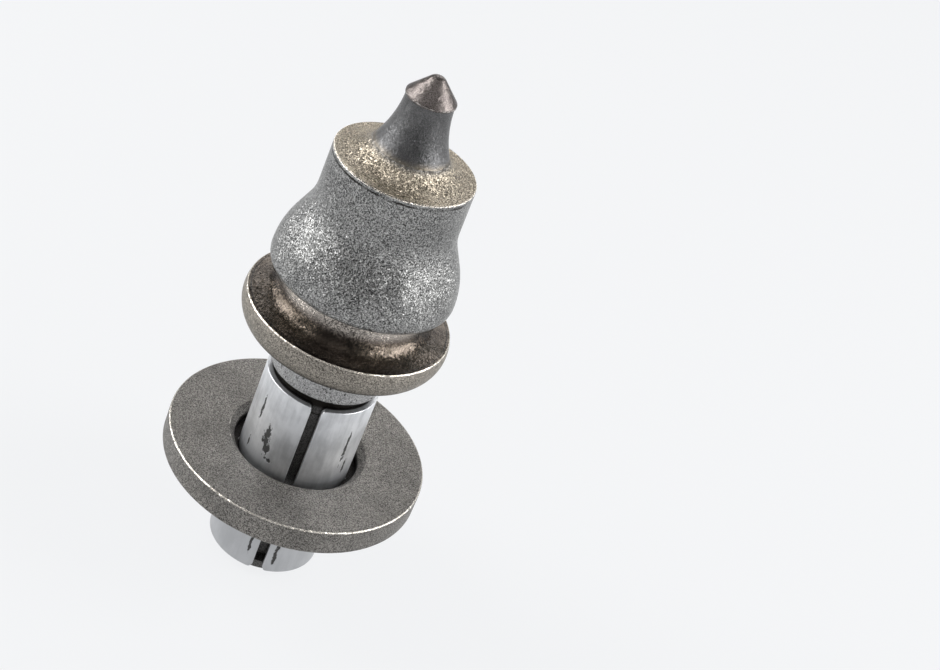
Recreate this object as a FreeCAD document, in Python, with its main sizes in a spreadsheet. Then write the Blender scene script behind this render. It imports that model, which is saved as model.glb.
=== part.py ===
"""Road milling pick: forged pick body, brazed carbide tip, wear plate and slotted clamping sleeve.

Millimetres. +Z runs up the pick's axis from the end of its shank to the carbide point, and the
origin is the middle of the shank's end face. The sleeve's slot faces -Y. Every piece is turned, so
each one is an outline revolved about Z, with its grooves, slots and edge breaks cut afterwards.
"""

import os
import re

import FreeCAD
import Part
import Sketcher

SIZES = {
    # pick body, from the shank's end upwards
    "shank_length": (42.0, "shank end to the underside of the centring stub"),
    "stub_height": (8.2, "centring stub under the collar"),
    "collar_height": (5.5, "collar, underside to upper rim"),
    "groove_height": (6.8, "puller groove, collar rim to the underside of the head"),
    "head_height": (23.5, "head, underside to the rim of its top face"),
    "journal_dia": (17.9, "running lands at both ends of the shank"),
    "shank_dia": (17.6, "shank between its running lands"),
    "top_land_height": (3.8, "running land below the stub"),
    "end_land_height": (2.3, "running land at the shank's end, below the retaining groove"),
    "end_chamfer": (0.8, "bevel round the shank's end"),
    "retaining_mouth": (4.8, "retaining groove, width at the shank's surface"),
    "retaining_floor": (3.0, "retaining groove, width at its floor"),
    "retaining_dia": (15.2, "floor of the retaining groove"),
    "stub_dia": (20.7, "centring stub"),
    "stub_chamfer": (0.4, "bevel round the stub's lower edge"),
    "collar_face_dia": (34.6, "collar, edge of its flat underside"),
    "collar_rim_dia": (37.1, "collar, sharp upper rim"),
    "collar_crown": (5.0, "radius of the collar's barrelled side"),
    "neck_dia": (24.8, "neck at the bottom of the puller groove"),
    "groove_sweep": (5.4, "radius from the collar's top up into the neck"),
    "groove_corner": (1.1, "bevel from the neck out to the underside of the head"),
    "skirt_dia": (33.2, "head, widest point, at its skirt"),
    "skirt_edge": (1.0, "bevel under the skirt"),
    "bulge_radius": (15.0, "convex side of the head above the skirt"),
    "head_slope": (25.0, "degrees, straight side of the head from the axis"),
    "waist_radius": (11.0, "concave side of the head below its top"),
    "waist_dia": (25.2, "head, where the concave side turns upright"),
    "head_top_dia": (25.0, "rim of the head's top face"),
    "rim_break": (0.25, "bevel round the head's top and the collar's rim"),
    "face_rise": (1.3, "head's top face, rise from its rim to the carbide seat"),
    # carbide tip and its braze
    "tip_height": (16.9, "rim of the head's top face to the point"),
    "foot_dia": (15.8, "foot of the carbide tip"),
    "foot_height": (2.0, "straight side of the foot"),
    "foot_bevel": (0.3, "bevel under the foot"),
    "cone_dia": (8.8, "base of the cone"),
    "cone_land": (0.3, "straight land under the cone"),
    "cone_height": (3.9, "base of the cone to the point"),
    "point_dia": (2.6, "cone, where its rounded point starts"),
    "point_rise": (0.5, "height of the rounded point"),
    "braze_gap": (0.3, "braze between the foot and its seat, at the side and below"),
    "seat_depth": (2.7, "carbide seat below the middle of the head's top face"),
    "fillet_reach": (1.4, "braze fillet, spread over the head's face beyond the seat"),
    "fillet_rise": (1.7, "braze fillet, height up the carbide above the seat"),
    # clamping sleeve
    "sleeve_start": (1.5, "lower end of the sleeve above the shank's end"),
    "sleeve_length": (38.8, "clamping sleeve"),
    "sleeve_wall": (1.4, "clamping sleeve"),
    "turning_gap": (0.05, "running clearance between a shank land and the sleeve"),
    "slot_width": (1.9, "slot along the sleeve"),
    "slot_corner": (0.9, "rounding where the slot meets the sleeve's ends"),
    "sleeve_bevel": (0.35, "bevel round the sleeve's ends"),
    "dimple_count": (3, "dimples pressed into the sleeve"),
    "dimple_spread": (150.0, "degrees, first dimple to last, centred opposite the slot"),
    "dimple_reach": (0.9, "dimple, inwards from the sleeve's bore"),
    "dimple_root_dia": (3.8, "dimple, inside, at its root"),
    "dimple_nose_dia": (1.3, "dimple, inside, at its nose"),
    "press_depth": (0.9, "dimple, depth of the hollow outside"),
    "press_dia": (3.0, "dimple, width of the hollow outside"),
    # wear plate
    "plate_height": (19.7, "underside of the plate above the shank's end"),
    "plate_dia": (48.2, "wear plate"),
    "plate_thickness": (5.0, "wear plate"),
    "plate_gap": (0.05, "clearance between the plate and the sleeve"),
    "recess_dia": (23.4, "recess round the hole, which takes the stub"),
    "recess_depth": (3.2, "recess below the plate's top face"),
    "recess_bevel": (1.3, "bevel round the recess"),
    "plate_edge": (0.35, "bevel round the plate's rims"),
    "plate_lead": (0.6, "bevel under the plate's hole"),
}

# heights above the shank's end, as expressions over the sizes
STUB_FOOT = "shank_length"
COLLAR_FOOT = f"{STUB_FOOT} + stub_height"
COLLAR_RIM = f"{COLLAR_FOOT} + collar_height"
HEAD_FOOT = f"{COLLAR_RIM} + groove_height"
HEAD_RIM = f"{HEAD_FOOT} + head_height"
SEAT_EDGE = f"{HEAD_RIM} + face_rise"
SEAT_FLOOR = f"{SEAT_EDGE} - seat_depth"
FOOT_BASE = f"{SEAT_FLOOR} + braze_gap"
FOOT_TOP = f"{FOOT_BASE} + foot_height"
POINT = f"{HEAD_RIM} + tip_height"
CONE_BASE = f"{POINT} - cone_height"
LAND_BASE = f"{CONE_BASE} - cone_land"
RETAINING_MIDDLE = "end_land_height + retaining_mouth / 2"
SLEEVE_TOP = "sleeve_start + sleeve_length"
PLATE_TOP = "plate_height + plate_thickness"

# radii, as expressions over the sizes
SEAT_RADIUS = "(foot_dia / 2 + braze_gap)"
FLARE_RUN = "((foot_dia - cone_dia) / 2)"
FLARE_DROP = f"({LAND_BASE} - ({FOOT_TOP}))"
FLARE_RADIUS = f"(({FLARE_RUN} ^ 2 + {FLARE_DROP} ^ 2) / (2 * {FLARE_RUN}))"
SLEEVE_BORE = "(journal_dia / 2 + turning_gap)"
SLEEVE_OUTSIDE = f"({SLEEVE_BORE} + sleeve_wall)"
PLATE_BORE = f"({SLEEVE_OUTSIDE} + plate_gap)"


def sizes_sheet(doc):
    """A spreadsheet with one row for each driving size: its name, value and meaning."""
    sheet = doc.addObject("Spreadsheet::Sheet", "Sizes")
    for row, (name, (value, meaning)) in enumerate(SIZES.items(), start=1):
        sheet.set(f"A{row}", name)
        sheet.set(f"B{row}", str(value))
        sheet.setAlias(f"B{row}", name)
        sheet.set(f"C{row}", meaning)
    doc.recompute()
    return sheet


def over_sheet(formula):
    """The formula with each size's name made a reference to its cell."""
    def cell(word):
        return f"Sizes.{word[0]}" if word[0] in SIZES else word[0]

    return re.sub(r"[A-Za-z_]\w*", cell, formula)


def value_of(sheet, formula):
    return float(sheet.evalExpression(over_sheet(formula)))


def new_body(doc, label):
    body = doc.addObject("PartDesign::Body", label)
    body.Label = label
    return body


def new_sketch(body, name):
    """A sketch on the body's own XZ plane, so that it reads (radius, height)."""
    sketch = body.newObject("Sketcher::SketchObject", name)
    plane = next(part for part in body.Origin.OriginFeatures if part.Role == "XZ_Plane")
    sketch.AttachmentSupport = [(plane, "")]
    sketch.MapMode = "FlatFace"
    return sketch


def bind(sheet, target, prop, formula):
    """Drive a property of a feature by a formula over the sizes."""
    setattr(target, prop, value_of(sheet, formula))
    target.setExpression(prop, over_sheet(formula))


def constrain(sheet, sketch, formula, kind, *args):
    """Add a dimension to the sketch, driven by a formula over the sizes."""
    value = value_of(sheet, formula)
    index = sketch.addConstraint(Sketcher.Constraint(kind, *args, value))
    sketch.setExpression(f"Constraints[{index}]", over_sheet(formula))


def arc_between(start, end, radius, outward):
    """The short arc from start to end, bowed to the right of the way from start to end if outward."""
    half = (end - start) / 2
    side = FreeCAD.Vector(half.y, -half.x, 0).normalize() * (1 if outward else -1)
    rise = radius - (radius ** 2 - half.Length ** 2) ** 0.5
    curve = Part.Arc(start, start + half + side * rise, end).toShape()
    return Part.ArcOfCircle(curve.Curve, *curve.ParameterRange)


def draw_outline(sheet, sketch, corners):
    """A closed outline. A corner is (x, y) or (x, y, radius, side) if an arc leaves it for the next.

    The x, y and radius are formulas. The side is "out" for an arc that bows away from the outline's
    inside, and "in" for a hollow one, with the corners given anticlockwise.
    """
    places = [FreeCAD.Vector(value_of(sheet, corner[0]), value_of(sheet, corner[1]), 0) for corner in corners]
    edges = []
    for number, corner in enumerate(corners):
        start, end = places[number], places[(number + 1) % len(corners)]
        if len(corner) == 2:
            edges.append((sketch.addGeometry(Part.LineSegment(start, end), False), 1, 2))
            continue
        radius = value_of(sheet, corner[2])
        arc = arc_between(start, end, radius, corner[3] == "out")
        index = sketch.addGeometry(arc, False)
        kept_way = sketch.getPoint(index, 1).isEqual(start, 1e-6)
        edges.append((index, 1, 2) if kept_way else (index, 2, 1))
    for number, corner in enumerate(corners):
        edge, start, end = edges[number]
        next_edge, next_start, _ = edges[(number + 1) % len(corners)]
        sketch.addConstraint(Sketcher.Constraint("Coincident", edge, end, next_edge, next_start))
        for text, axis, kind in ((corner[0], -2, "DistanceX"), (corner[1], -1, "DistanceY")):
            if text == "0":
                sketch.addConstraint(Sketcher.Constraint("PointOnObject", edge, start, axis))
            else:
                constrain(sheet, sketch, text, kind, -1, 1, edge, start)
        if len(corner) == 4:
            constrain(sheet, sketch, corner[2], "Radius", edge)


def revolve(body, sketch, name, kind="PartDesign::Revolution"):
    """The sketch turned once about its own upright axis, added to the body or cut from it."""
    feature = body.newObject(kind, name)
    feature.Profile = sketch
    feature.ReferenceAxis = (sketch, ["V_Axis"])
    feature.Angle = 360
    return feature


def turned(sheet, body, name, corners, kind="PartDesign::Revolution"):
    sketch = new_sketch(body, f"{body.Label}_{name}_outline")
    draw_outline(sheet, sketch, corners)
    return revolve(body, sketch, f"{body.Label}_{name}", kind)


def rim_names(shape, radius, height):
    """Names of the shape's round edges of this radius at this height on the pick's axis."""
    names = []
    for number, edge in enumerate(shape.Edges, start=1):
        if edge.Degenerated or not isinstance(edge.Curve, Part.Circle):
            continue
        centre = edge.Curve.Center
        off_axis = (centre.x ** 2 + centre.y ** 2) ** 0.5
        if off_axis < 1e-4 and abs(centre.z - height) < 1e-4 and abs(edge.Curve.Radius - radius) < 1e-4:
            names.append(f"Edge{number}")
    return names


def bevel_rims(sheet, body, base, name, size, rims):
    """A 45 degree bevel on each rim, given as (radius, height) formulas."""
    body.Document.recompute()
    names = []
    for radius, height in rims:
        found = rim_names(base.Shape, value_of(sheet, radius), value_of(sheet, height))
        if not found:
            raise ValueError(f"{body.Label}: no rim of radius {radius} at {height}")
        names += found
    feature = body.newObject("PartDesign::Chamfer", f"{body.Label}_{name}")
    feature.Base = (base, names)
    bind(sheet, feature, "Size", size)
    return feature


def pick_body(doc, sheet):
    """One forging: shank, centring stub, collar, puller groove and waisted head with a carbide seat."""
    body = new_body(doc, "pick_body")
    bulge_drop = "bulge_radius * (1 - cos(head_slope))"
    waist_drop = "waist_radius * (1 - cos(head_slope))"
    bulge_foot = f"{HEAD_FOOT} + skirt_edge"
    bulge_top = f"{bulge_foot} + bulge_radius * sin(head_slope)"
    slope_run = f"(skirt_dia / 2 - waist_dia / 2 - {bulge_drop} - {waist_drop})"
    waist_foot = f"{bulge_top} + {slope_run} / tan(head_slope)"
    turned(sheet, body, "forging", [
        ("0", "0"),
        ("journal_dia / 2", "0"),
        ("journal_dia / 2", "end_land_height + retaining_mouth"),
        ("shank_dia / 2", "end_land_height + retaining_mouth"),
        ("shank_dia / 2", f"{STUB_FOOT} - top_land_height"),
        ("journal_dia / 2", f"{STUB_FOOT} - top_land_height"),
        ("journal_dia / 2", STUB_FOOT),
        ("stub_dia / 2", STUB_FOOT),
        ("stub_dia / 2", COLLAR_FOOT),
        ("collar_face_dia / 2", COLLAR_FOOT, "collar_crown", "out"),
        ("collar_rim_dia / 2", COLLAR_RIM),
        ("neck_dia / 2 + groove_sweep", COLLAR_RIM, "groove_sweep", "in"),
        ("neck_dia / 2", f"{COLLAR_RIM} + groove_sweep"),
        ("neck_dia / 2", f"{HEAD_FOOT} - groove_corner"),
        ("neck_dia / 2 + groove_corner", HEAD_FOOT),
        ("skirt_dia / 2 - skirt_edge", HEAD_FOOT),
        ("skirt_dia / 2", bulge_foot, "bulge_radius", "out"),
        (f"skirt_dia / 2 - {bulge_drop}", bulge_top),
        (f"waist_dia / 2 + {waist_drop}", waist_foot, "waist_radius", "in"),
        ("waist_dia / 2", f"{waist_foot} + waist_radius * sin(head_slope)"),
        ("head_top_dia / 2", HEAD_RIM),
        (SEAT_RADIUS, SEAT_EDGE),
        ("0", SEAT_EDGE),
    ])
    retaining_wall = "(retaining_mouth - retaining_floor) / 2"
    past_shank = "journal_dia / 2 + end_chamfer"
    turned(sheet, body, "retaining_groove", [
        ("retaining_dia / 2", f"end_land_height + {retaining_wall}"),
        ("journal_dia / 2", "end_land_height"),
        (past_shank, "end_land_height"),
        (past_shank, "end_land_height + retaining_mouth"),
        ("journal_dia / 2", "end_land_height + retaining_mouth"),
        ("retaining_dia / 2", f"end_land_height + retaining_mouth - {retaining_wall}"),
    ], "PartDesign::Groove")
    seat = turned(sheet, body, "carbide_seat", [
        ("0", SEAT_FLOOR),
        (SEAT_RADIUS, SEAT_FLOOR),
        (SEAT_RADIUS, f"{SEAT_EDGE} + braze_gap"),
        ("0", f"{SEAT_EDGE} + braze_gap"),
    ], "PartDesign::Groove")
    ends = bevel_rims(sheet, body, seat, "end_bevel", "end_chamfer", [("journal_dia / 2", "0")])
    stub = bevel_rims(sheet, body, ends, "stub_bevel", "stub_chamfer", [("stub_dia / 2", STUB_FOOT)])
    rims = [("collar_rim_dia / 2", COLLAR_RIM), ("head_top_dia / 2", HEAD_RIM)]
    bevel_rims(sheet, body, stub, "rim_breaks", "rim_break", rims)
    return body


def carbide_tip(doc, sheet):
    """One sintered insert: blunt cone, narrow land, hollow flared neck and the foot that is brazed in."""
    body = new_body(doc, "carbide_tip")
    point_radius = "((point_dia / 2) ^ 2 + point_rise ^ 2) / (2 * point_rise)"
    insert = turned(sheet, body, "insert", [
        ("0", FOOT_BASE),
        ("foot_dia / 2", FOOT_BASE),
        ("foot_dia / 2", FOOT_TOP, FLARE_RADIUS, "in"),
        ("cone_dia / 2", LAND_BASE),
        ("cone_dia / 2", CONE_BASE),
        ("point_dia / 2", f"{POINT} - point_rise", point_radius, "out"),
        ("0", POINT),
    ])
    bevel_rims(sheet, body, insert, "foot_bevel", "foot_bevel", [("foot_dia / 2", FOOT_BASE)])
    return body


def braze_ring(doc, sheet, tip):
    """Brass that fills the seat round the foot and climbs the carbide in a fillet, cut by the tip itself."""
    blank = new_body(doc, "braze_blank")
    fillet_foot = f"({SEAT_RADIUS} + fillet_reach)"
    face_fall = f"face_rise * fillet_reach / (head_top_dia / 2 - {SEAT_RADIUS})"
    fillet_top = f"({SEAT_EDGE} + fillet_rise)"
    flare_fall = f"({LAND_BASE} - {fillet_top})"
    carbide_side = f"cone_dia / 2 + {FLARE_RADIUS} - sqrt({FLARE_RADIUS} ^ 2 - {flare_fall} ^ 2)"
    turned(sheet, blank, "filler", [
        ("0", SEAT_FLOOR),
        (SEAT_RADIUS, SEAT_FLOOR),
        (SEAT_RADIUS, SEAT_EDGE),
        (fillet_foot, f"{SEAT_EDGE} - {face_fall}"),
        (f"{carbide_side} - braze_gap / 2", fillet_top),
        ("0", fillet_top),
    ])
    ring = doc.addObject("Part::Cut", "braze_ring")
    ring.Label = "braze_ring"
    ring.Base = blank
    ring.Tool = tip
    return ring


def slot_cut(sheet, body):
    """The slot through the sleeve's -Y side, with its corners rounded off at both ends."""
    sketch = new_sketch(body, "sleeve_slot_outline")
    half, flared = "slot_width / 2", "slot_width / 2 + slot_corner"
    low, high = "sleeve_start", SLEEVE_TOP
    draw_outline(sheet, sketch, [
        (f"-({flared})", low),
        (flared, low, "slot_corner", "in"),
        (half, f"{low} + slot_corner"),
        (half, f"{high} - slot_corner", "slot_corner", "in"),
        (flared, high),
        (f"-({flared})", high, "slot_corner", "in"),
        (f"-({half})", f"{high} - slot_corner"),
        (f"-({half})", f"{low} + slot_corner", "slot_corner", "in"),
    ])
    slot = body.newObject("PartDesign::Pocket", "sleeve_slot")
    slot.Profile = sketch
    slot.Reversed = True
    bind(sheet, slot, "Length", f"{SLEEVE_OUTSIDE} + sleeve_wall")
    return slot


def dimple_sketch(sheet, body, name, corners):
    """An outline beside a spoke of the sleeve, turned about that spoke to make the first dimple."""
    sketch = new_sketch(body, name)
    first_spoke = "90 - dimple_spread / 2"
    turn = FreeCAD.Rotation(FreeCAD.Vector(0, 1, 0), value_of(sheet, first_spoke))
    sketch.AttachmentOffset = FreeCAD.Placement(FreeCAD.Vector(), turn)
    sketch.setExpression("AttachmentOffset.Rotation.Angle", over_sheet(first_spoke))
    draw_outline(sheet, sketch, corners)
    ends = [corners[0][0], corners[1][0]]
    spoke = [FreeCAD.Vector(value_of(sheet, reach), value_of(sheet, RETAINING_MIDDLE), 0) for reach in ends]
    axis = sketch.addGeometry(Part.LineSegment(*spoke), True)
    for point, reach in enumerate(ends, start=1):
        constrain(sheet, sketch, reach, "DistanceX", -1, 1, axis, point)
        constrain(sheet, sketch, RETAINING_MIDDLE, "DistanceY", -1, 1, axis, point)
    return sketch


def dimples(sheet, body):
    """Dimples pressed into the sleeve, level with the shank's retaining groove, repeated about Z."""
    wall_middle = f"{SLEEVE_BORE} + sleeve_wall / 2"
    nose = f"{SLEEVE_BORE} - dimple_reach"
    hollow = f"{SLEEVE_OUTSIDE} - press_depth"
    bump = body.newObject("PartDesign::Revolution", "dimple_bump")
    bump.Profile = dimple_sketch(sheet, body, "dimple_bump_outline", [
        (nose, RETAINING_MIDDLE),
        (wall_middle, RETAINING_MIDDLE),
        (wall_middle, f"{RETAINING_MIDDLE} + dimple_root_dia / 2"),
        (nose, f"{RETAINING_MIDDLE} + dimple_nose_dia / 2"),
    ])
    bump.ReferenceAxis = (bump.Profile[0], ["Axis0"])
    bump.Angle = 360
    press = body.newObject("PartDesign::Groove", "dimple_hollow")
    press.Profile = dimple_sketch(sheet, body, "dimple_hollow_outline", [
        (hollow, RETAINING_MIDDLE),
        (f"{SLEEVE_OUTSIDE} + press_depth", RETAINING_MIDDLE),
        (f"{SLEEVE_OUTSIDE} + press_depth", f"{RETAINING_MIDDLE} + press_dia - dimple_nose_dia / 2"),
        (hollow, f"{RETAINING_MIDDLE} + dimple_nose_dia / 2"),
    ])
    press.ReferenceAxis = (press.Profile[0], ["Axis0"])
    press.Angle = 360
    body.Document.recompute()
    pattern = body.newObject("PartDesign::PolarPattern", "dimple_pattern")
    pattern.Originals = [bump, press]
    upright = next(part for part in body.Origin.OriginFeatures if part.Role == "Z_Axis")
    pattern.Axis = (upright, [""])
    bind(sheet, pattern, "Angle", "dimple_spread")
    pattern.Occurrences = int(value_of(sheet, "dimple_count"))
    pattern.setExpression("Occurrences", over_sheet("dimple_count"))
    body.Tip = pattern
    return pattern


def clamping_sleeve(doc, sheet):
    """A rolled spring-steel sleeve: open along its slot, bevelled ends, dimples for the retaining groove."""
    body = new_body(doc, "clamping_sleeve")
    tube = turned(sheet, body, "tube", [
        (SLEEVE_BORE, "sleeve_start"),
        (SLEEVE_OUTSIDE, "sleeve_start"),
        (SLEEVE_OUTSIDE, SLEEVE_TOP),
        (SLEEVE_BORE, SLEEVE_TOP),
    ])
    rims = [(SLEEVE_OUTSIDE, "sleeve_start"), (SLEEVE_OUTSIDE, SLEEVE_TOP), (SLEEVE_BORE, SLEEVE_TOP)]
    bevel_rims(sheet, body, tube, "end_bevels", "sleeve_bevel", rims)
    slot_cut(sheet, body)
    dimples(sheet, body)
    return body


def wear_plate(doc, sheet):
    """A round plate whose hole grips the sleeve, recessed above to take the centring stub."""
    body = new_body(doc, "wear_plate")
    disc = turned(sheet, body, "disc", [
        (PLATE_BORE, "plate_height"),
        ("plate_dia / 2", "plate_height"),
        ("plate_dia / 2", PLATE_TOP),
        (PLATE_BORE, PLATE_TOP),
    ])
    edges = bevel_rims(sheet, body, disc, "edge_bevels", "plate_edge",
                       [("plate_dia / 2", "plate_height"), ("plate_dia / 2", PLATE_TOP)])
    bevel_rims(sheet, body, edges, "lead_bevel", "plate_lead", [(PLATE_BORE, "plate_height")])
    turned(sheet, body, "recess", [
        (PLATE_BORE, f"{PLATE_TOP} - recess_depth"),
        ("recess_dia / 2", f"{PLATE_TOP} - recess_depth"),
        ("recess_dia / 2", f"{PLATE_TOP} - recess_bevel"),
        ("recess_dia / 2 + recess_bevel", PLATE_TOP),
        (PLATE_BORE, PLATE_TOP),
    ], "PartDesign::Groove")
    return body


def check(doc):
    for thing in doc.Objects:
        if {"Invalid", "Error"} & set(thing.State):
            raise RuntimeError(f"{thing.Label} failed: {thing.State}")


def main():
    doc = FreeCAD.newDocument("RoadMillingPick")
    sheet = sizes_sheet(doc)
    body = pick_body(doc, sheet)
    tip = carbide_tip(doc, sheet)
    ring = braze_ring(doc, sheet, tip)
    sleeve = clamping_sleeve(doc, sheet)
    plate = wear_plate(doc, sheet)
    doc.recompute()
    check(doc)
    pieces = [body, tip, ring, sleeve, plate]
    for piece in pieces:
        if piece.Shape.isNull() or not piece.Shape.isValid() or len(piece.Shape.Solids) != 1:
            raise RuntimeError(f"{piece.Label} has no single valid solid")
    os.makedirs("parts", exist_ok=True)
    for piece in pieces:
        piece.Shape.exportStep(f"parts/{piece.Label}.step")
        print(piece.Label, round(piece.Shape.Volume, 1), piece.Shape.BoundBox)


main()
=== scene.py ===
import math

import bmesh
import bpy
from mathutils import Euler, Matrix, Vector


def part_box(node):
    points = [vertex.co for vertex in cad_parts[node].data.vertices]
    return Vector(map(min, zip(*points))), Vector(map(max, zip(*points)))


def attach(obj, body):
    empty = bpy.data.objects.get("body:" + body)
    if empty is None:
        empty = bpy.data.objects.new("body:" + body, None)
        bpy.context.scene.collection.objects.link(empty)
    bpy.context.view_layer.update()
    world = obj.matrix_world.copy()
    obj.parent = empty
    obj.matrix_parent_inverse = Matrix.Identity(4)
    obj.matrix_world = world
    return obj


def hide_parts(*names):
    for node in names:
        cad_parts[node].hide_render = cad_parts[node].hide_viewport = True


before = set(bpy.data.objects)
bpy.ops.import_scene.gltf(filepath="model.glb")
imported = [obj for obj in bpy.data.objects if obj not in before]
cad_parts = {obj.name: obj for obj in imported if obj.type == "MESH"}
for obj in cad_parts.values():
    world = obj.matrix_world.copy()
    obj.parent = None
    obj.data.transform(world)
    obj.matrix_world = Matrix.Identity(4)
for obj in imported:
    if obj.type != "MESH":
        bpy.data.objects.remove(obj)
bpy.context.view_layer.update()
mm = 0.001


# an outline's corners are (radius, height) in mm above the node's lowest point. A third number is the
# length of the steps to the corner; a radius and a side make the way to it an arc, bowed right by 1
def arcPoints(start, end, radius, side, step):
    half = (Vector(end) - Vector(start)) / 2
    right = Vector((half.y, -half.x)).normalized() * side
    centre = Vector(start) + half - right * math.sqrt(radius ** 2 - half.length ** 2)
    first = math.atan2(start[1] - centre.y, start[0] - centre.x)
    last = math.atan2(end[1] - centre.y, end[0] - centre.x)
    turn = (last - first + math.pi) % (2 * math.pi) - math.pi
    count = max(4, math.ceil(abs(turn) * radius / step))
    return [(centre.x + radius * math.cos(first + turn * i / count),
             centre.y + radius * math.sin(first + turn * i / count)) for i in range(1, count + 1)]


def linePoints(start, end, step):
    count = max(1, round((Vector(end) - Vector(start)).length / step))
    return [tuple(Vector(start).lerp(Vector(end), i / count)) for i in range(1, count + 1)]


def followOutline(corners, step):
    points = [corners[0][:2]]
    for corner in corners[1:]:
        if len(corner) == 4:
            points += arcPoints(points[-1], corner[:2], corner[2], corner[3], step)
        else:
            points += linePoints(points[-1], corner[:2], corner[2] if len(corner) == 3 else step)
    return points


def spinPiece(name, node, size):
    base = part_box(node)[0].z
    points = [Vector((radius * mm, 0, base + height * mm))
              for radius, height in followOutline(size["outline"], size["step"])]
    bpy.ops.object.select_all(action="DESELECT")
    bpy.ops.mesh.primitive_plane_add(size=mm, location=points[0])
    piece = bpy.context.active_object
    piece.name = piece.data.name = name
    bpy.ops.object.transform_apply(location=True)
    bpy.ops.object.mode_set(mode="EDIT")
    bpy.ops.mesh.select_all(action="SELECT")
    bpy.ops.mesh.merge(type="CENTER")
    for before, after in zip(points, points[1:]):
        bpy.ops.mesh.extrude_region_move(TRANSFORM_OT_translate={"value": after - before})
    bpy.ops.mesh.select_all(action="SELECT")
    bpy.ops.mesh.spin(steps=size["spinSteps"], angle=2 * math.pi, center=(0, 0, 0), axis=(0, 0, 1))
    bpy.ops.mesh.select_all(action="SELECT")
    bpy.ops.mesh.remove_doubles(threshold=4e-6)
    bpy.ops.mesh.normals_make_consistent(inside=False)
    bpy.ops.object.mode_set(mode="OBJECT")
    bpy.ops.object.shade_smooth_by_angle(angle=math.radians(35))
    print(name, len(piece.data.polygons), "faces")
    return piece


# nodes
def nodeMaker(tree):
    def make(kind, inputs=None, **settings):
        node = tree.nodes.new(kind)
        for key, value in settings.items():
            setattr(node, key, value)
        for key, value in (inputs or {}).items():
            if isinstance(value, bpy.types.NodeSocket):
                tree.links.new(value, node.inputs[key])
            else:
                node.inputs[key].default_value = value
        return node
    return make


def newGroup(name, inputs, outputs):
    tree = bpy.data.node_groups.new(name, "ShaderNodeTree")
    for label, kind in inputs.items():
        tree.interface.new_socket(name=label, in_out="INPUT", socket_type="NodeSocket" + kind)
    for label, kind in outputs.items():
        tree.interface.new_socket(name=label, in_out="OUTPUT", socket_type="NodeSocket" + kind)
    return tree, tree.nodes.new("NodeGroupInput").outputs, tree.nodes.new("NodeGroupOutput").inputs


def useGroup(make, tree, inputs=None):
    return make("ShaderNodeGroup", inputs, node_tree=tree).outputs


def maths(make, operation, first, second=0.0, third=0.0):
    return make("ShaderNodeMath", {0: first, 1: second, 2: third}, operation=operation).outputs[0]


def vectors(make, operation, first, second=(0, 0, 0)):
    return make("ShaderNodeVectorMath", {0: first, 1: second}, operation=operation).outputs[0]


def scaled(make, place, rate):
    return make("ShaderNodeVectorMath", {0: place, "Scale": rate}, operation="SCALE").outputs[0]


def noise(make, place, size, detail=2.0, roughness=0.5, distortion=0.0):
    return make("ShaderNodeTexNoise", {"Vector": place, "Scale": 1 / size, "Detail": detail,
                                       "Roughness": roughness, "Distortion": distortion}).outputs["Fac"]


def axesOf(make, vector):
    return make("ShaderNodeSeparateXYZ", {0: vector}).outputs


def lengthOf(make, vector):
    return make("ShaderNodeVectorMath", {0: vector}, operation="LENGTH").outputs["Value"]


def pairOf(make, first, second):
    return make("ShaderNodeCombineXYZ", {"X": first, "Y": second}).outputs[0]


def ramp(make, value, low, high, first=0.0, last=1.0):
    return make("ShaderNodeMapRange", {"Value": value, "From Min": low, "From Max": high,
                                       "To Min": first, "To Max": last},
                interpolation_type="SMOOTHSTEP").outputs["Result"]


def mixColour(make, mask, first, second):
    return make("ShaderNodeMix", {"Factor": mask, 6: first, 7: second}, data_type="RGBA").outputs[2]


def mixValue(make, mask, first, second):
    return make("ShaderNodeMix", {"Factor": mask, 2: first, 3: second}).outputs[0]


# where a point is on a turned part: its radius and height in mm, its turn in radians, its place with the
# radius taken out, so that a pattern can run round the part, and its place in mm
def buildPlaceGroup():
    tree, _, out = newGroup("placeOnPart", {}, {"Radius": "Float", "Height": "Float", "Turn": "Float",
                                                "Round": "Vector", "Place": "Vector"})
    make = nodeMaker(tree)
    inMm = scaled(make, make("ShaderNodeTexCoord").outputs["Object"], 1000.0)
    axes = axesOf(make, inMm)
    flat = pairOf(make, axes[0], axes[1])
    unit = axesOf(make, vectors(make, "NORMALIZE", flat))
    onUnit = make("ShaderNodeCombineXYZ", {"X": unit[0], "Y": unit[1], "Z": axes[2]}).outputs[0]
    tree.links.new(lengthOf(make, flat), out["Radius"])
    tree.links.new(axes[2], out["Height"])
    tree.links.new(maths(make, "ARCTAN2", axes[1], axes[0]), out["Turn"])
    tree.links.new(onUnit, out["Round"])
    tree.links.new(inMm, out["Place"])
    return tree


# 1 between two levels of a value, fading over the blur
def buildBandGroup():
    tree, given, out = newGroup("band", {"Value": "Float", "From": "Float", "To": "Float", "Blur": "Float"},
                                {"Mask": "Float"})
    make = nodeMaker(tree)
    rise = ramp(make, given["Value"], maths(make, "SUBTRACT", given["From"], given["Blur"]),
                maths(make, "ADD", given["From"], given["Blur"]))
    fall = ramp(make, given["Value"], maths(make, "SUBTRACT", given["To"], given["Blur"]),
                maths(make, "ADD", given["To"], given["Blur"]), 1.0, 0.0)
    tree.links.new(maths(make, "MULTIPLY", rise, fall), out["Mask"])
    return tree


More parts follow.
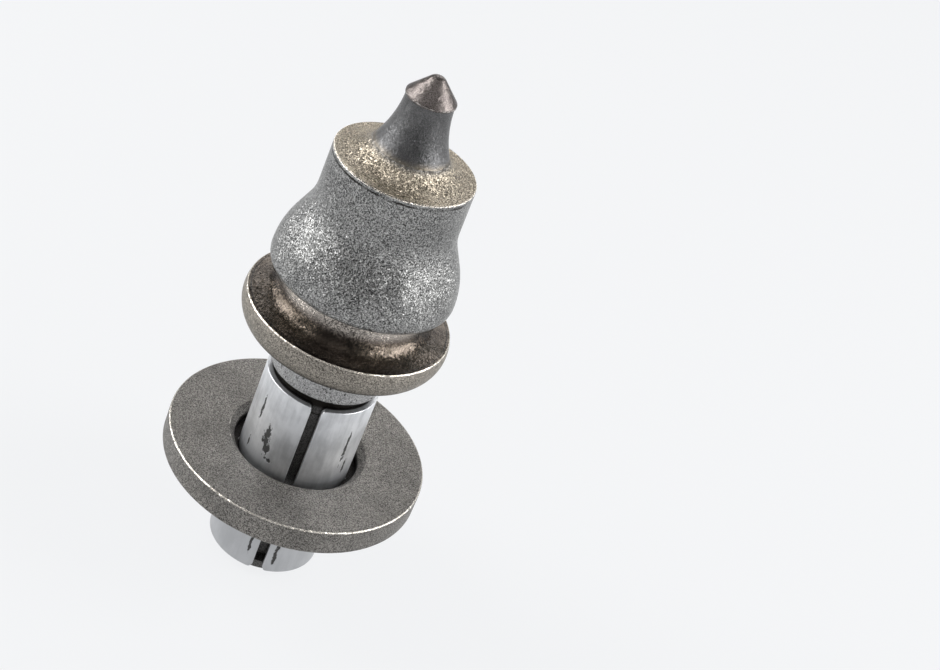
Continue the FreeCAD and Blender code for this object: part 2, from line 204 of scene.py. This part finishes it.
# skin of a blasted or forged surface: small leaning facets in wandering rows. It puts out the height in mm,
# a tone that differs from facet to facet, and fine noise
def buildGrainGroup():
    tree, given, out = newGroup(
        "grain", {"Place": "Vector", "Size": "Float", "Wander": "Float", "Tilt": "Float"},
        {"Height": "Float", "Tone": "Float", "Fine": "Float"})
    make = nodeMaker(tree)
    place = scaled(make, given["Place"], maths(make, "DIVIDE", 1.0, given["Size"]))
    drift = make("ShaderNodeTexNoise", {"Vector": place, "Scale": 0.5, "Detail": 2.0, "Roughness": 0.6})
    drift = vectors(make, "SUBTRACT", drift.outputs["Color"], (0.5, 0.5, 0.5))
    bent = vectors(make, "ADD", place, scaled(make, drift, given["Wander"]))
    facets = make("ShaderNodeTexVoronoi", {"Vector": bent, "Scale": 1.0}).outputs
    lean = vectors(make, "SUBTRACT", facets["Color"], (0.5, 0.5, 0.5))
    away = vectors(make, "SUBTRACT", bent, facets["Position"])
    slope = make("ShaderNodeVectorMath", {0: away, 1: lean}, operation="DOT_PRODUCT").outputs["Value"]
    fine = noise(make, bent, 0.5, 2.0, 0.6, 0.8)
    height = maths(make, "MULTIPLY", maths(make, "MULTIPLY_ADD", fine, 0.35, slope), given["Tilt"])
    tree.links.new(maths(make, "MULTIPLY", height, given["Size"]), out["Height"])
    cell = axesOf(make, facets["Color"])[1]
    folds = ramp(make, noise(make, bent, 0.8, 1.0, 0.5, 0.5), 0.40, 0.60, 0.0, 0.75)
    tree.links.new(maths(make, "MULTIPLY_ADD", cell, 0.25, folds), out["Tone"])
    tree.links.new(fine, out["Fine"])
    return tree


# a line along a turned rim, broken along its way. It masks both the worn rims with their painted highlight and
# the painted shade lines next to rims
def buildRimGroup():
    tree, given, out = newGroup("rimLine", {"Place": "Vector", "Radius": "Float", "Height": "Float",
                                            "RimRadius": "Float", "RimHeight": "Float", "Width": "Float",
                                            "Whole": "Float"}, {"Mask": "Float"})
    make = nodeMaker(tree)
    outward = maths(make, "SUBTRACT", given["Radius"], given["RimRadius"])
    upward = maths(make, "SUBTRACT", given["Height"], given["RimHeight"])
    far = lengthOf(make, pairOf(make, outward, upward))
    ragged = maths(make, "MULTIPLY_ADD", noise(make, given["Place"], 0.6, 2.0), 0.25, far)
    near = ramp(make, ragged, maths(make, "MULTIPLY", given["Width"], 0.6),
                maths(make, "MULTIPLY", given["Width"], 1.5), 1.0, 0.0)
    gaps = noise(make, given["Place"], 3.0, 3.0, 0.6)
    whole = ramp(make, maths(make, "ADD", gaps, given["Whole"]), 0.45, 0.62, 0.25, 1.0)
    tree.links.new(maths(make, "MULTIPLY", near, whole), out["Mask"])
    return tree


placeGroup = buildPlaceGroup()
bandGroup = buildBandGroup()
grainGroup = buildGrainGroup()
rimGroup = buildRimGroup()
endless = 200  # a level in mm that no part reaches
print("shared node groups")


def band(make, value, low, high, blur):
    return useGroup(make, bandGroup, {"Value": value, "From": low, "To": high, "Blur": blur})["Mask"]


def above(make, value, low, blur):
    return band(make, value, low, endless, blur)


def below(make, value, high, blur):
    return band(make, value, -endless, high, blur)


def grain(make, place, size, wander, tilt):
    return useGroup(make, grainGroup, {"Place": place["Place"], "Size": size, "Wander": wander, "Tilt": tilt})


# each line along a rim is its radius, height and width in mm, and how unbroken it is
def rims(make, place, lines):
    mask = 0.0
    for radius, height, width, whole in lines:
        line = useGroup(make, rimGroup, {
            "Place": place["Place"], "Radius": place["Radius"], "Height": place["Height"],
            "RimRadius": radius, "RimHeight": height, "Width": width, "Whole": whole})["Mask"]
        mask = maths(make, "MAXIMUM", mask, line)
    return mask


def stretched(make, place, around, along):
    return vectors(make, "MULTIPLY", place["Round"], (around, around, along))


# build puts out a colour, a roughness and a height in mm
def metal(name, build, metallic=1.0):
    material = bpy.data.materials.new(name)
    material.use_nodes = True
    tree = material.node_tree
    tree.nodes.clear()
    make = nodeMaker(tree)
    colour, roughness, height = build(make, useGroup(make, placeGroup))
    bump = make("ShaderNodeBump", {"Height": height, "Distance": mm, "Strength": 1.0}).outputs[0]
    shader = make("ShaderNodeBsdfPrincipled", {
        "Metallic": metallic, "Base Color": colour, "Roughness": roughness, "Normal": bump}).outputs[0]
    make("ShaderNodeOutputMaterial", {"Surface": shader})
    return material


def dress(piece, material, body, node):
    piece.data.materials.clear()
    piece.data.materials.append(material)
    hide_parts(node)
    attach(piece, body)


# pick body: shank with its retaining groove, stub, collar, puller groove and head
pickSize = {
    "outline": [
        (0, 0), (8.15, 0, 2), (8.95, 0.8), (8.95, 2.3), (7.6, 3.2), (7.6, 6.2, 1.5), (8.95, 7.1), (8.8, 7.2),
        (8.8, 38.2, 2), (8.95, 38.3), (8.95, 42.0, 1.5), (9.95, 42.0), (10.35, 42.4, 0.4, 1), (10.35, 50.2),
        (17.1, 50.2), (17.35, 50.35), (18.5, 55.35, 5.0, 1), (18.25, 55.7, 0.4, 1), (17.8, 55.7),
        (15.2, 56.35), (13.2, 58.4, 2.82, -1), (12.4, 61.3), (12.4, 61.5), (13.4, 62.5, 1.0, -1), (15.6, 62.5),
        (16.6, 63.5, 1.0, 1), (15.195, 69.84, 15.0, 1), (13.63, 73.2), (12.6, 77.84, 11.0, -1), (12.5, 85.75),
        (12.25, 86.05, 0.3, 1), (10.4, 86.283, 7.0, -1), (8.2, 86.3), (8.2, 84.6, 1.4), (0, 84.6, 2)],
    "step": 0.42, "spinSteps": 240,
    "head": ((0.03, 0.03, 0.03, 1), (0.50, 0.50, 0.49, 1)), "headSkin": 0.27,
    "face": ((0.07, 0.058, 0.044, 1), (0.66, 0.58, 0.46, 1)), "faceSkin": 0.25,
    # the groove's upper wall colour is its own lighter brown-grey, raised partly as a painted reflection of
    # the floor
    "groove": ((0.055, 0.046, 0.038, 1), (0.15, 0.125, 0.103, 1)), "wall": (0.42, 0.385, 0.35, 1),
    "collar": ((0.09, 0.083, 0.073, 1), (0.44, 0.407, 0.358, 1)),
    "stub": ((0.20, 0.20, 0.20, 1), (0.56, 0.56, 0.56, 1)),
    "shank": ((0.05, 0.05, 0.048, 1), (0.17, 0.165, 0.16, 1)),
    # the light rim colour is partly worn metal and partly a painted highlight along the rims
    # the near-black colour paints shade on this body: under the shank's step, in the gap above the sleeve,
    # under the collar and along the dark rims
    "wornAndGlint": (0.82, 0.76, 0.67, 1), "nearBlack": (0.02, 0.018, 0.016, 1),
    # the height in mm at which each zone begins, and how far it fades
    "starts": {"stub": (42.3, 0.1), "collar": (50.15, 0.08), "groove": (55.66, 0.04), "wall": (58.9, 1.0),
               "head": (62.75, 0.25), "face": (86.03, 0.05)},
    "rough": {"shank": 0.5, "stub": 0.42, "collar": 0.46, "groove": 0.17, "head": 0.28, "face": 0.26,
              "wornAndGlint": 0.22},
    # heights of painted shade: a line under the shank's step, the shank's top in the gap above the sleeve, and
    # the collar's underside
    "stepShadeLine": (38.05, 38.35), "gapShade": 39.8, "underCollarShade": 50.75,
    # painted shade below the head's top rim, and a painted dark reflection just inside the collar's top rim
    "darkRims": ((12.52, 85.25, 0.28, 0.08), (17.8, 55.75, 0.24, 0.12)),
    # rims lightened as worn edges with a painted highlight
    "wornGlintRims": ((12.42, 85.98, 0.24, 0.2), (18.42, 55.6, 0.24, 0.2)),
    "clouds": 7.0, "waves": 4.5, "waveDepth": 0.35, "wobble": 1.4, "pits": 0.55, "pitDepth": 0.06,
}


def pickMetal(make, place):
    z = place["Height"]
    starts, rough = pickSize["starts"], pickSize["rough"]
    skin = grain(make, place, pickSize["headSkin"], 1.3, 0.5)
    tight = grain(make, place, pickSize["faceSkin"], 1.0, 0.7)
    cloud = noise(make, place["Place"], pickSize["clouds"], 3)
    waves = noise(make, place["Place"], pickSize["waves"], 2)
    wobble = noise(make, place["Place"], pickSize["wobble"], 3)
    pits = ramp(make, noise(make, place["Place"], pickSize["pits"], 2.0, 0.6), 0.60, 0.68)

    stubMask = above(make, z, *starts["stub"])
    collarMask = above(make, z, *starts["collar"])
    grooveMask = above(make, z, *starts["groove"])
    headMask = above(make, maths(make, "MULTIPLY_ADD", wobble, 0.3, z), *starts["head"])
    faceMask = above(make, maths(make, "MULTIPLY_ADD", wobble, 0.1, z), *starts["face"])
    dark = rims(make, place, pickSize["darkRims"])
    wornAndGlint = rims(make, place, pickSize["wornGlintRims"])

    shank = mixColour(make, tight["Tone"], *pickSize["shank"])
    # painted shade: a near-black line under the shank's small step
    shank = mixColour(make, band(make, z, *pickSize["stepShadeLine"], 0.08), shank, pickSize["nearBlack"])
    # painted shade on the shank's top, in the gap between the sleeve and the stub
    shank = mixColour(make, band(make, z, pickSize["gapShade"], 60, 0.3), shank, pickSize["nearBlack"])
    stub = mixColour(make, tight["Tone"], *pickSize["stub"])
    stub = mixColour(make, pits, stub, pickSize["shank"][0])
    collar = mixColour(make, tight["Tone"], *pickSize["collar"])
    # painted shade on the collar's underside and lower edge
    collar = mixColour(make, below(make, z, pickSize["underCollarShade"], 0.45), collar, pickSize["nearBlack"])
    groove = mixColour(make, ramp(make, cloud, 0.35, 0.7), *pickSize["groove"])
    # upper wall painted lighter, partly a painted reflection of the floor
    groove = mixColour(make, above(make, z, *starts["wall"]), groove, pickSize["wall"])
    head = mixColour(make, skin["Tone"], *pickSize["head"])
    head = mixColour(make, ramp(make, cloud, 0.35, 0.75, 0.0, 0.3), head, pickSize["head"][0])
    face = mixColour(make, tight["Tone"], *pickSize["face"])

    colour = mixColour(make, stubMask, shank, stub)
    colour = mixColour(make, collarMask, colour, collar)
    colour = mixColour(make, grooveMask, colour, groove)
    colour = mixColour(make, headMask, colour, head)
    colour = mixColour(make, faceMask, colour, face)
    # painted shade below the head's top rim and painted dark reflection inside the collar's rim
    colour = mixColour(make, dark, colour, pickSize["nearBlack"])
    # worn rims with a painted highlight
    colour = mixColour(make, wornAndGlint, colour, pickSize["wornAndGlint"])

    roughness = mixValue(make, stubMask, rough["shank"], rough["stub"])
    roughness = mixValue(make, collarMask, roughness, rough["collar"])
    roughness = mixValue(make, grooveMask, roughness, rough["groove"])
    roughness = mixValue(make, headMask, roughness, rough["head"])
    roughness = mixValue(make, faceMask, roughness, rough["face"])
    roughness = maths(make, "MULTIPLY_ADD", tight["Fine"], 0.1, roughness)
    roughness = mixValue(make, wornAndGlint, roughness, rough["wornAndGlint"])

    wavy = maths(make, "MULTIPLY_ADD", waves, pickSize["waveDepth"], skin["Height"])
    height = maths(make, "MULTIPLY", tight["Height"], 0.5)
    height = mixValue(make, grooveMask, height, maths(make, "MULTIPLY", skin["Height"], 0.6))
    height = mixValue(make, headMask, height, wavy)
    height = mixValue(make, faceMask, height, tight["Height"])
    onStub = band(make, z, 42, 50.2, 0.1)
    sunk = maths(make, "MULTIPLY", onStub, -pickSize["pitDepth"])
    height = maths(make, "MULTIPLY_ADD", pits, sunk, height)
    return colour, roughness, height


pickBody = spinPiece("pickBody", "pick_body", pickSize)
dress(pickBody, metal("blastedForging", pickMetal), "pick", "pick_body")

# carbide tip: plug, flared neck and cone
tipSize = {
    "outline": [
        (0, 0), (7.6, 0, 2), (7.9, 0.3), (7.9, 2.0, 0.8), (4.22, 13.62, 21.6, -1), (4.4, 13.72), (4.4, 14.05),
        (4.3, 14.2), (1.3, 17.5), (0, 18.0, 1.94, 1)],
    "step": 0.4, "spinSteps": 160,
    "neck": ((0.075, 0.075, 0.076, 1), (0.155, 0.155, 0.157, 1)), "neckRough": 0.30,
    "cone": ((0.06, 0.054, 0.051, 1), (0.22, 0.193, 0.182, 1)), "coneRough": 0.27, "coneStart": 98.6,
    "foot": (0.36, 0.30, 0.215, 1), "footTop": 89.6, "footFade": 1.5,
    "wornAndGlint": (0.85, 0.82, 0.78, 1), "nearBlack": (0.015, 0.015, 0.015, 1),
    # the first rim line paints shade under the cone's lip; the second lightens the lip's edge, partly worn and
    # partly a painted highlight
    "darkRims": ((4.25, 98.5, 0.14, 0.3),), "wornGlintRims": ((4.42, 98.85, 0.13, 0.1),),
    "skin": 0.17, "clouds": 2.6,
}


def tipMetal(make, place):
    z = place["Height"]
    fine = grain(make, place, tipSize["skin"], 1.0, 0.3)
    cloud = noise(make, place["Place"], tipSize["clouds"], 4, 0.6)
    tone = maths(make, "MULTIPLY_ADD", cloud, 0.6, maths(make, "MULTIPLY", fine["Tone"], 0.4))
    coneMask = above(make, z, tipSize["coneStart"], 0.03)
    foot = below(make, maths(make, "MULTIPLY_ADD", cloud, 1.6, z), tipSize["footTop"], tipSize["footFade"])
    colour = mixColour(make, ramp(make, tone, 0.25, 0.8), *tipSize["neck"])
    colour = mixColour(make, foot, colour, tipSize["foot"])
    colour = mixColour(make, coneMask, colour, mixColour(make, fine["Tone"], *tipSize["cone"]))
    # painted shade under the cone's lip
    colour = mixColour(make, rims(make, place, tipSize["darkRims"]), colour, tipSize["nearBlack"])
    # the lip's edge, worn and lightened with a painted highlight
    colour = mixColour(make, rims(make, place, tipSize["wornGlintRims"]), colour, tipSize["wornAndGlint"])
    roughness = mixValue(make, coneMask, tipSize["neckRough"], tipSize["coneRough"])
    return colour, maths(make, "MULTIPLY_ADD", fine["Fine"], 0.1, roughness), fine["Height"]


carbideTip = spinPiece("carbideTip", "carbide_tip", tipSize)
dress(carbideTip, metal("sinteredCarbide", tipMetal), "pick", "carbide_tip")

# braze ring: bed under the tip and the hollow fillet round its foot
brazeSize = {
    "outline": [
        (0, 0), (8.2, 0, 2), (8.2, 1.68, 1), (10.4, 1.663, 1), (6.7, 4.4, 5.43, -1), (7.9, 2.3, 21.6, 1),
        (7.9, 0.6), (7.6, 0.3), (0, 0.3, 2), (0, 0)],
    "step": 0.4, "spinSteps": 160,
    "gold": ((0.07, 0.058, 0.044, 1), (0.66, 0.58, 0.46, 1)), "skin": 0.25, "rough": 0.26,
    "grey": (0.13, 0.128, 0.125, 1), "greyStart": 88.5,
}


def brazeMetal(make, place):
    tight = grain(make, place, brazeSize["skin"], 1.0, 0.7)
    colour = mixColour(make, tight["Tone"], *brazeSize["gold"])
    grey = above(make, place["Height"], brazeSize["greyStart"], 0.8)
    colour = mixColour(make, grey, colour, brazeSize["grey"])
    return colour, maths(make, "MULTIPLY_ADD", tight["Fine"], 0.1, brazeSize["rough"]), tight["Height"]


brazeRing = spinPiece("brazeRing", "braze_ring", brazeSize)
dress(brazeRing, metal("tintedBraze", brazeMetal), "pick", "braze_ring")

# clamping sleeve: a flat strip with cut corners and pressed dimples, then rolled. Each mark is its turn in
# degrees and height in mm, and its half width and half height in mm
sleeveSize = {
    "wall": 1.4, "slot": 1.9, "corner": 0.9, "bevel": 0.22, "columns": 260, "rows": 90,
    "dimples": (15, 90, 165), "dimpleHeight": 4.7, "dimpleDepth": 0.9, "dimpleReach": 1.9,
    "steel": ((0.55, 0.562, 0.58, 1), (0.76, 0.773, 0.795, 1)), "metallic": 0.85, "rough": 0.36,
    # painted shadow of the plate on the sleeve's lower part
    "shadowedSteel": (0.36, 0.365, 0.375, 1), "shadowHeights": (22.0, 15.0),
    "outerRadius": 10.4, "insideRadius": 9.45,
    "scuff": (0.045, 0.043, 0.04, 1), "scuffRough": 0.6, "scuffDepth": 0.05,
    "brush": (2.5, 9.0), "brushDepth": 0.012, "streaks": (9.0, 0.14), "rags": (17.0, 0.9),
    "clouds": 5.0, "cloudDepth": 0.05, "specks": 0.7,
    "marks": ((-146, 33.5, 0.35, 3.4), (-128, 30.0, 0.9, 2.6), (-124, 27.5, 0.9, 1.4), (-44, 32.0, 0.35, 4.2),
              (-36, 27.0, 0.3, 2.4), (-150, 25.8, 0.3, 1.6), (-118, 25.6, 0.9, 0.5), (-132, 10.5, 0.3, 3.2),
              (-104, 7.5, 0.3, 3.0), (-76, 6.5, 0.4, 3.2), (55, 24.0, 0.6, 3.0), (120, 33.0, 0.5, 2.5),
              (140, 12.0, 0.4, 2.6)),
}


def pressDimple(strip, middle, size):
    bpy.ops.mesh.select_all(action="DESELECT")
    mesh = bmesh.from_edit_mesh(strip.data)
    nearest = min(mesh.verts, key=lambda vertex: (vertex.co - middle).length)
    nearest.select_set(True)
    mesh.select_flush(True)
    bmesh.update_edit_mesh(strip.data)
    bpy.ops.transform.translate(
        value=(0, size["dimpleDepth"] * mm, 0), use_proportional_edit=True,
        proportional_edit_falloff="SMOOTH", proportional_size=size["dimpleReach"] * mm)


def rollSleeve(name, node, size):
    low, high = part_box(node)
    wall, corner, length = size["wall"] * mm, size["corner"] * mm, high.z - low.z
    radius = high.x - wall / 2
    turn = 2 * math.pi - 2 * math.asin(size["slot"] * mm / 2 / high.x)
    width = radius * turn
    bpy.ops.object.select_all(action="DESELECT")
    bpy.ops.mesh.primitive_grid_add(x_subdivisions=size["columns"], y_subdivisions=size["rows"], size=1)
    strip = bpy.context.active_object
    strip.name = strip.data.name = name
    strip.scale = (width, length, 1)
    strip.rotation_euler.x = math.pi / 2
    bpy.ops.object.transform_apply(rotation=True, scale=True)
    bpy.ops.object.mode_set(mode="EDIT")
    for sideX in (-1, 1):
        for sideZ in (-1, 1):
            middle = Vector((sideX * (width / 2 - corner), 0, sideZ * (length / 2 - corner)))
            for angle in (9, 27, 45, 63, 81):
                lean = math.radians(angle)
                out = Vector((sideX * math.cos(lean), 0, sideZ * math.sin(lean)))
                bpy.ops.mesh.select_all(action="SELECT")
                bpy.ops.mesh.bisect(plane_co=middle + out * corner, plane_no=out, clear_outer=True)
    for turned in size["dimples"]:
        across = math.radians(turned - 90) * radius
        pressDimple(strip, Vector((across, 0, size["dimpleHeight"] * mm - low.z - length / 2)), size)
    bpy.ops.object.mode_set(mode="OBJECT")
    thick = strip.modifiers.new("wall", "SOLIDIFY")
    thick.thickness, thick.offset = wall, 0
    bpy.ops.object.modifier_apply(modifier="wall")
    edge = strip.modifiers.new("edge", "BEVEL")
    edge.width, edge.segments = size["bevel"] * mm, 3
    edge.limit_method, edge.angle_limit = "ANGLE", math.radians(50)
    bpy.ops.object.modifier_apply(modifier="edge")
    bend = strip.modifiers.new("roll", "SIMPLE_DEFORM")
    bend.deform_method, bend.deform_axis, bend.angle = "BEND", "Z", turn
    bpy.ops.object.modifier_apply(modifier="roll")
    bpy.ops.object.select_all(action="DESELECT")
    strip.select_set(True)
    strip.location = (0, -radius, low.z + length / 2)
    bpy.ops.object.transform_apply(location=True)
    strip.rotation_euler.z = math.pi
    bpy.ops.object.transform_apply(rotation=True)
    bpy.ops.object.mode_set(mode="EDIT")
    bpy.ops.mesh.select_all(action="SELECT")
    bpy.ops.mesh.normals_make_consistent(inside=False)
    bpy.ops.object.mode_set(mode="OBJECT")
    bpy.ops.object.shade_smooth_by_angle(angle=math.radians(35))
    print(name, len(strip.data.polygons), "faces")
    return strip


def sleeveMarks(make, place, rag, size):
    scuff = ramp(make, noise(make, place["Place"], size["specks"], 3, 0.6), 0.74, 0.80)
    for turned, height, halfWidth, halfHeight in size["marks"]:
        across = maths(make, "SUBTRACT", place["Turn"], math.radians(turned))
        along = maths(make, "SUBTRACT", place["Height"], height)
        away = lengthOf(make, pairOf(make, maths(make, "MULTIPLY", across, size["outerRadius"] / halfWidth),
                                     maths(make, "DIVIDE", along, halfHeight)))
        mark = ramp(make, maths(make, "MULTIPLY_ADD", rag, 3.2, away), 2.55, 2.25)
        scuff = maths(make, "MAXIMUM", scuff, mark)
    return scuff


def sleeveMetal(make, place):
    size = sleeveSize
    brush = noise(make, stretched(make, place, *size["brush"]), 1.0, 3, 0.7)
    streak = noise(make, stretched(make, place, *size["streaks"]), 1.0, 4, 0.6)
    rag = noise(make, stretched(make, place, *size["rags"]), 1.0, 4, 0.65)
    cloud = noise(make, place["Place"], size["clouds"], 4, 0.55)
    scuff = sleeveMarks(make, place, rag, size)
    shade = ramp(make, maths(make, "MULTIPLY_ADD", streak, 0.7, cloud), 0.65, 1.1)
    colour = mixColour(make, shade, size["steel"][1], size["steel"][0])
    # painted shadow: the sleeve darkens below the plate
    colour = mixColour(make, ramp(make, place["Height"], *size["shadowHeights"], 0.0, 0.7), colour, size["shadowedSteel"])
    colour = mixColour(make, maths(make, "MULTIPLY", scuff, 0.92), colour, size["scuff"])
    # painted shade on the sleeve's inner wall, in the scuffs' near-black colour
    inside = band(make, place["Radius"], 0, size["insideRadius"], 0.15)
    colour = mixColour(make, inside, colour, size["scuff"])
    brushed = maths(make, "MULTIPLY_ADD", brush, 0.12, size["rough"])
    roughness = mixValue(make, scuff, brushed, size["scuffRough"])
    height = maths(make, "MULTIPLY", scuff, -size["scuffDepth"])
    height = maths(make, "MULTIPLY_ADD", brush, size["brushDepth"], height)
    return colour, roughness, maths(make, "MULTIPLY_ADD", cloud, size["cloudDepth"], height)


clampingSleeve = rollSleeve("clampingSleeve", "clamping_sleeve", sleeveSize)
springSteel = metal("rolledSpringSteel", sleeveMetal, sleeveSize["metallic"])
dress(clampingSleeve, springSteel, "sleeve", "clamping_sleeve")

# wear plate: a flat ring with a recess and a bevelled hole
plateSize = {
    "outline": [
        (10.45, 0.6), (11.05, 0), (23.75, 0), (24.1, 0.35, 0.4, 1), (24.1, 4.6), (23.7, 5.0, 0.4, 1),
        (13.15, 5.0), (12.85, 4.85, 0.5, 1), (11.8, 3.8), (11.7, 3.6, 0.5, 1), (11.7, 1.9), (11.6, 1.8),
        (10.55, 1.8), (10.45, 1.7), (10.45, 0.6)],
    "step": 0.5, "spinSteps": 256,
    "steel": ((0.06, 0.057, 0.053, 1), (0.37, 0.353, 0.329, 1)), "skin": 0.26,
    "rough": 0.42, "wornRough": 0.25, "clouds": 8.0, "specks": 0.5,
    # where the painted shade in the hole begins and deepens
    "holeRadius": 11.85, "holeShadeHeights": (23.6, 22.2),
    # the light rim colour is partly worn metal and partly a painted highlight; the near-black colour serves
    # the dark specks and the painted shade in the hole
    "speck": (0.5, 0.48, 0.45, 1), "wornAndGlint": (0.78, 0.74, 0.67, 1), "nearBlack": (0.03, 0.028, 0.026, 1),
    "wornGlintRims": ((24.0, 24.6, 0.24, 0.2), (12.95, 24.65, 0.14, 0.0)),
}


def plateMetal(make, place):
    size = plateSize
    skin = grain(make, place, size["skin"], 1.0, 0.45)
    cloud = noise(make, place["Place"], size["clouds"], 3)
    specks = noise(make, place["Place"], size["specks"], 2.0, 0.6)
    colour = mixColour(make, skin["Tone"], *size["steel"])
    colour = mixColour(make, ramp(make, cloud, 0.35, 0.75, 0.0, 0.35), colour, size["steel"][0])
    colour = mixColour(make, ramp(make, specks, 0.68, 0.74, 0.0, 0.7), colour, size["speck"])
    colour = mixColour(make, ramp(make, specks, 0.31, 0.27, 0.0, 0.8), colour, size["nearBlack"])
    # painted shade in the hole's recess and ledge, deepening downwards
    hole = band(make, place["Radius"], 0, size["holeRadius"], 0.1)
    depth = ramp(make, place["Height"], *size["holeShadeHeights"], 0.3, 1.0)
    colour = mixColour(make, maths(make, "MULTIPLY", hole, depth), colour, size["nearBlack"])
    # worn rims with a painted highlight
    wornAndGlint = rims(make, place, size["wornGlintRims"])
    colour = mixColour(make, wornAndGlint, colour, size["wornAndGlint"])
    plain = maths(make, "MULTIPLY_ADD", skin["Fine"], 0.12, size["rough"])
    return colour, mixValue(make, wornAndGlint, plain, size["wornRough"]), skin["Height"]


wearPlate = spinPiece("wearPlate", "wear_plate", plateSize)
dress(wearPlate, metal("hardenedPlate", plateMetal), "plate", "wear_plate")

# stage, light and camera. Each lamp is its place, its width and height in metres, and its power
stageSize = {
    "floor": 3.0, "white": (0.925, 0.935, 0.95, 1), "paper": (0.5, 0.5, 0.5, 1), "shown": 0.9,
    "world": 0.1,
    "lamps": {
        "leftHigh": ((-0.52, 0.13, 0.42), (0.36, 0.28), 3.4),
        "leftLow": ((-0.58, 0.0, 0.2), (0.7, 0.14), 2.1),
        "rightHigh": ((0.53, 0.05, 0.43), (0.34, 0.28), 3.2),
        "rightLow": ((0.56, -0.11, 0.2), (0.7, 0.14), 1.9),
        "topBox": ((-0.03, -0.2, 0.62), (0.5, 0.14), 0.35),
        "backBox": ((0.1, 0.66, 0.38), (0.7, 0.26), 1.8)},
    "aim": (0, 0, 0.06),
    "camera": (-0.027815, -0.264641, 0.224993), "turned": (55.9096, -19.8217, 2.4018), "lens": 69.32,
}
bpy.ops.object.select_all(action="DESELECT")
bpy.ops.mesh.primitive_plane_add(size=stageSize["floor"])
floor = bpy.context.active_object
floor.name = "floor"
paper = bpy.data.materials.new("paper")
paper.use_nodes = True
paper.node_tree.nodes.clear()
make = nodeMaker(paper.node_tree)
path = make("ShaderNodeLightPath").outputs
seen = maths(make, "MAXIMUM", path["Is Camera Ray"],
             maths(make, "MAXIMUM", path["Is Glossy Ray"], path["Is Transmission Ray"]))
matt = make("ShaderNodeBsdfDiffuse", {"Color": stageSize["paper"]}).outputs[0]
glow = make("ShaderNodeEmission", {"Color": stageSize["white"], "Strength": 1.0}).outputs[0]
white = make("ShaderNodeMixShader", {0: maths(make, "MULTIPLY", seen, stageSize["shown"]), 1: matt, 2: glow})
make("ShaderNodeOutputMaterial", {"Surface": white.outputs[0]})
floor.data.materials.append(paper)

world = bpy.data.worlds.new("studio")
bpy.context.scene.world = world
world.use_nodes = True
world.node_tree.nodes["Background"].inputs["Color"].default_value = (1, 1, 1, 1)
world.node_tree.nodes["Background"].inputs["Strength"].default_value = stageSize["world"]

for name, (place, reach, power) in stageSize["lamps"].items():
    light = bpy.data.lights.new(name, "AREA")
    light.shape, light.size, light.size_y, light.energy = "RECTANGLE", reach[0], reach[1], power
    box = bpy.data.objects.new(name, light)
    bpy.context.collection.objects.link(box)
    box.location = place
    box.rotation_euler = (Vector(stageSize["aim"]) - Vector(place)).to_track_quat("-Z", "Y").to_euler()

camera = bpy.data.objects.new("camera", bpy.data.cameras.new("camera"))
bpy.context.collection.objects.link(camera)
camera.location = stageSize["camera"]
camera.rotation_euler = Euler([math.radians(turn) for turn in stageSize["turned"]])
camera.data.lens, camera.data.sensor_width, camera.data.clip_start = stageSize["lens"], 36, 0.01
scene = bpy.context.scene
scene.camera = camera
scene.view_settings.view_transform = "Standard"
print("stage, light and camera")
